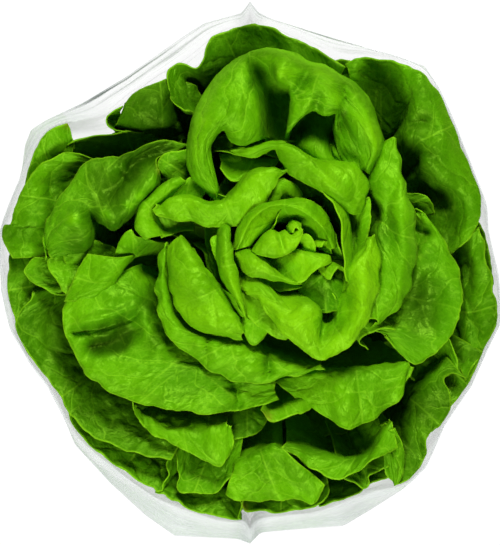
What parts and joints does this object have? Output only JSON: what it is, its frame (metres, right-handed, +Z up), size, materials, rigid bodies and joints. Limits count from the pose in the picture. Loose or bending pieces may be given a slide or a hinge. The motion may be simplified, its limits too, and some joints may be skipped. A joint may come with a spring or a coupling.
{
  "type": "bag of butterhead lettuce",
  "caption": "Loose-leaved round lettuce head standing in an open-topped clear film sleeve with two welded side seams and a flat base.",
  "frame": {"origin": "on the surface the sleeve stands on, under the middle of its mouth", "axes": "+Z up out of the open mouth, +Y towards one of the two side welds"},
  "size_m": [0.237, 0.26, 0.132],
  "materials": {
    "clear_film": "clear, faintly creased",
    "lettuce_leaf": "waxy, softly glossy leaf"
  },
  "bodies": {
    "root": {"film_sleeve": "clear_film", "lettuce_head": "lettuce_leaf"}
  },
  "joints": []
}
